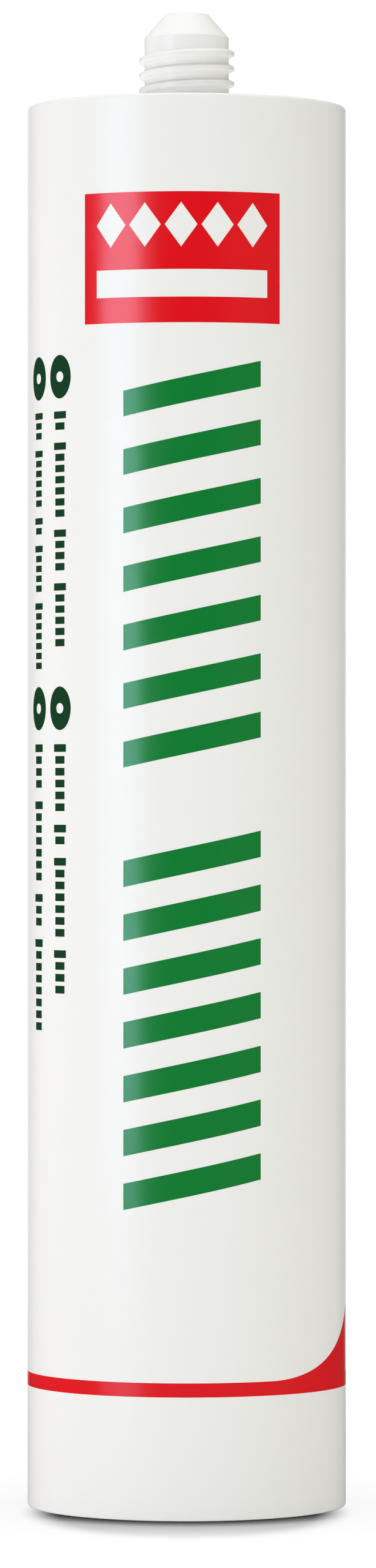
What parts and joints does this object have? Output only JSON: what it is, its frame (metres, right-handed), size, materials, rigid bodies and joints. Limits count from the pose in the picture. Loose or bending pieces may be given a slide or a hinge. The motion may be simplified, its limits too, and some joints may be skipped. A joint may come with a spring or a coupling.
{
  "type": "caulk tube",
  "caption": "White plastic sealant cartridge with a flat head, a closed threaded nipple and a piston that slides up the barrel from its open rear end.",
  "frame": {"origin": "centre of the open rear rim's plane, on which the tube stands", "axes": "+Z along the barrel towards the nipple, -Y towards the printed front"},
  "size_m": [0.0494, 0.0494, 0.2316],
  "materials": {
    "white_polyethylene": "semi-gloss moulded white polyethylene",
    "piston_polyethylene": "satin natural polyethylene",
    "sealant_paste": "smooth white paste",
    "red_ink": "glossy printed ink",
    "green_ink": "glossy printed ink",
    "dark_green_ink": "glossy printed ink"
  },
  "bodies": {
    "tube": {"cartridge": "white_polyethylene", "sealant": "sealant_paste"},
    "piston": {"piston": "piston_polyethylene"}
  },
  "joints": [
    {"name": "piston_slide", "type": "slide", "parent": "tube", "child": "piston", "axis": [0, 0, 1], "range_m": [0, 0.1817], "deforming": ["sealant"]}
  ]
}
